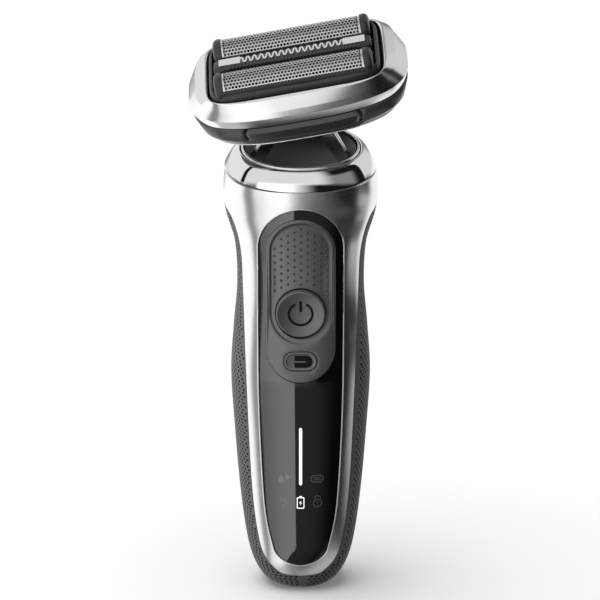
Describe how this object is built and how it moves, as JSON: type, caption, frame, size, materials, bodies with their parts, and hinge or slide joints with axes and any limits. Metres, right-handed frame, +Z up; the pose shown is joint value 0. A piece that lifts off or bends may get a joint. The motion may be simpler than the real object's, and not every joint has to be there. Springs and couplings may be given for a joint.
{
  "type": "foil shaver",
  "caption": "Upright foil shaver with a rubber-backed handle, glossy front panel with round button, and a tilting head with curved foils either side of a long trimmer.",
  "frame": {"origin": "centre of the flat foot the shaver stands on", "axes": "+Z up along the handle to the head, -Y towards the front panel, X to the sides"},
  "size_m": [0.0599, 0.0398, 0.1675],
  "materials": {
    "rubber": "soft-touch, matte, with raised dots",
    "seal": "matte",
    "satin_metal": "satin",
    "chrome": "polished",
    "black_gloss": "high gloss",
    "light": "translucent white",
    "grey_matte": "fine matte",
    "charcoal": "satin",
    "board": "solder resist",
    "cell": "sleeved",
    "winding": "wound copper on a steel core",
    "gold_contact": "plated",
    "steel": "brushed",
    "foil_steel": "fine perforated",
    "blade_steel": "ground"
  },
  "bodies": {
    "handle": {"grip_shell": "rubber", "front_bezel": "satin_metal", "display_panel": "black_gloss", "light_bar": "light", "button_plate": "grey_matte", "chassis": "charcoal", "circuit_board": "board", "power_switch": "charcoal", "mode_switch": "charcoal", "battery_cell": "cell", "battery_tab_top": "steel", "battery_tab_bottom": "steel", "charging_socket": "charcoal", "board_screw_1": "steel", "board_screw_2": "steel", "board_screw_3": "steel", "board_screw_4": "steel", "socket_pin_left": "steel", "socket_pin_right": "steel", "rear_contact_left": "gold_contact", "rear_contact_right": "gold_contact", "collar_ring": "chrome", "collar_bevel": "satin_metal", "neck_dish": "charcoal", "seal_ring": "seal", "neck_mount": "charcoal", "neck_yoke": "steel"},
    "power_button": {"power_button": "grey_matte"},
    "mode_button": {"mode_button": "grey_matte"},
    "gimbal": {"gimbal_frame": "steel", "roll_pin": "steel"},
    "head": {"head_ring": "chrome", "head_base": "charcoal", "head_deck": "charcoal", "pitch_pin_left": "steel", "pitch_pin_right": "steel", "motor_left": "winding", "motor_right": "winding"},
    "release_front": {"release_tab_front": "grey_matte"},
    "release_rear": {"release_tab_rear": "grey_matte"},
    "armature": {"drive_armature": "steel", "drive_pin_front": "steel", "drive_pin_middle": "steel", "drive_pin_rear": "steel"},
    "cassette": {"cassette_frame": "charcoal", "foil_spring_front_left": "blade_steel", "foil_spring_front_right": "blade_steel", "foil_spring_rear_left": "blade_steel", "foil_spring_rear_right": "blade_steel"},
    "foil_front": {"foil_sheet_front": "foil_steel", "foil_carrier_front": "charcoal"},
    "foil_rear": {"foil_sheet_rear": "foil_steel", "foil_carrier_rear": "charcoal"},
    "trimmer": {"trimmer_carrier": "charcoal", "trimmer_comb": "blade_steel"},
    "cutter_front": {"foil_cutter_front": "blade_steel"},
    "cutter_rear": {"foil_cutter_rear": "blade_steel"},
    "blade": {"trimmer_blade": "blade_steel"}
  },
  "joints": [
    {"name": "power_press", "type": "slide", "parent": "handle", "child": "power_button", "axis": [0, 0.9962, 0.0872], "range_m": [0, 0.0005], "stiffness_N_per_m": 1500, "springref_m": -0.0004},
    {"name": "mode_press", "type": "slide", "parent": "handle", "child": "mode_button", "axis": [0, 1, 0], "range_m": [0, 0.0004], "stiffness_N_per_m": 1500, "springref_m": -0.0004},
    {"name": "head_roll", "type": "hinge", "parent": "handle", "child": "gimbal", "pos_m": [0, -0.00537, 0.14696], "axis": [0, -0.9724, -0.2334], "range_deg": [-24, 2]},
    {"name": "head_pitch", "type": "hinge", "parent": "gimbal", "child": "head", "pos_m": [0, -0.00537, 0.14696], "axis": [0.9816, -0.0445, 0.1855], "range_deg": [-26.5, 3.5]},
    {"name": "release_front_press", "type": "slide", "parent": "head", "child": "release_front", "axis": [-0.038, 0.9072, 0.4191], "range_m": [0, 0.0004], "stiffness_N_per_m": 1500, "springref_m": -0.0004},
    {"name": "release_rear_press", "type": "slide", "parent": "head", "child": "release_rear", "axis": [0.038, -0.9072, -0.4191], "range_m": [0, 0.0004], "stiffness_N_per_m": 1500, "springref_m": -0.0004},
    {"name": "cassette_lift", "type": "slide", "parent": "head", "child": "cassette", "axis": [-0.187, -0.4184, 0.8888], "range_m": [0, 0.014]},
    {"name": "foil_front_float", "type": "slide", "parent": "cassette", "child": "foil_front", "axis": [-0.187, -0.4184, 0.8888], "range_m": [-0.0012, 0], "stiffness_N_per_m": 400, "springref_m": 0.0008, "deforming": ["foil_spring_front_left", "foil_spring_front_right"]},
    {"name": "foil_rear_float", "type": "slide", "parent": "cassette", "child": "foil_rear", "axis": [-0.187, -0.4184, 0.8888], "range_m": [-0.0012, 0], "stiffness_N_per_m": 400, "springref_m": 0.0008, "deforming": ["foil_spring_rear_left", "foil_spring_rear_right"]},
    {"name": "trimmer_float", "type": "slide", "parent": "cassette", "child": "trimmer", "axis": [-0.187, -0.4184, 0.8888], "range_m": [-0.0012, 0], "stiffness_N_per_m": 400, "springref_m": 0.0008},
    {"name": "armature_slide", "type": "slide", "parent": "head", "child": "armature", "axis": [0.9816, -0.0445, 0.1855], "range_m": [-0.0008, 0.0008], "stiffness_N_per_m": 2000},
    {"name": "cutter_front_slide", "type": "slide", "parent": "foil_front", "child": "cutter_front", "axis": [0.9816, -0.0445, 0.1855], "range_m": [-0.0008, 0.0008]},
    {"name": "cutter_rear_slide", "type": "slide", "parent": "foil_rear", "child": "cutter_rear", "axis": [0.9816, -0.0445, 0.1855], "range_m": [-0.0008, 0.0008]},
    {"name": "blade_slide", "type": "slide", "parent": "trimmer", "child": "blade", "axis": [0.9816, -0.0445, 0.1855], "range_m": [-0.0008, 0.0008]}
  ],
  "couplings": [
    {"joint": "cutter_front_slide", "follows": "armature_slide", "ratio": 1},
    {"joint": "cutter_rear_slide", "follows": "armature_slide", "ratio": 1},
    {"joint": "blade_slide", "follows": "armature_slide", "ratio": 1}
  ]
}
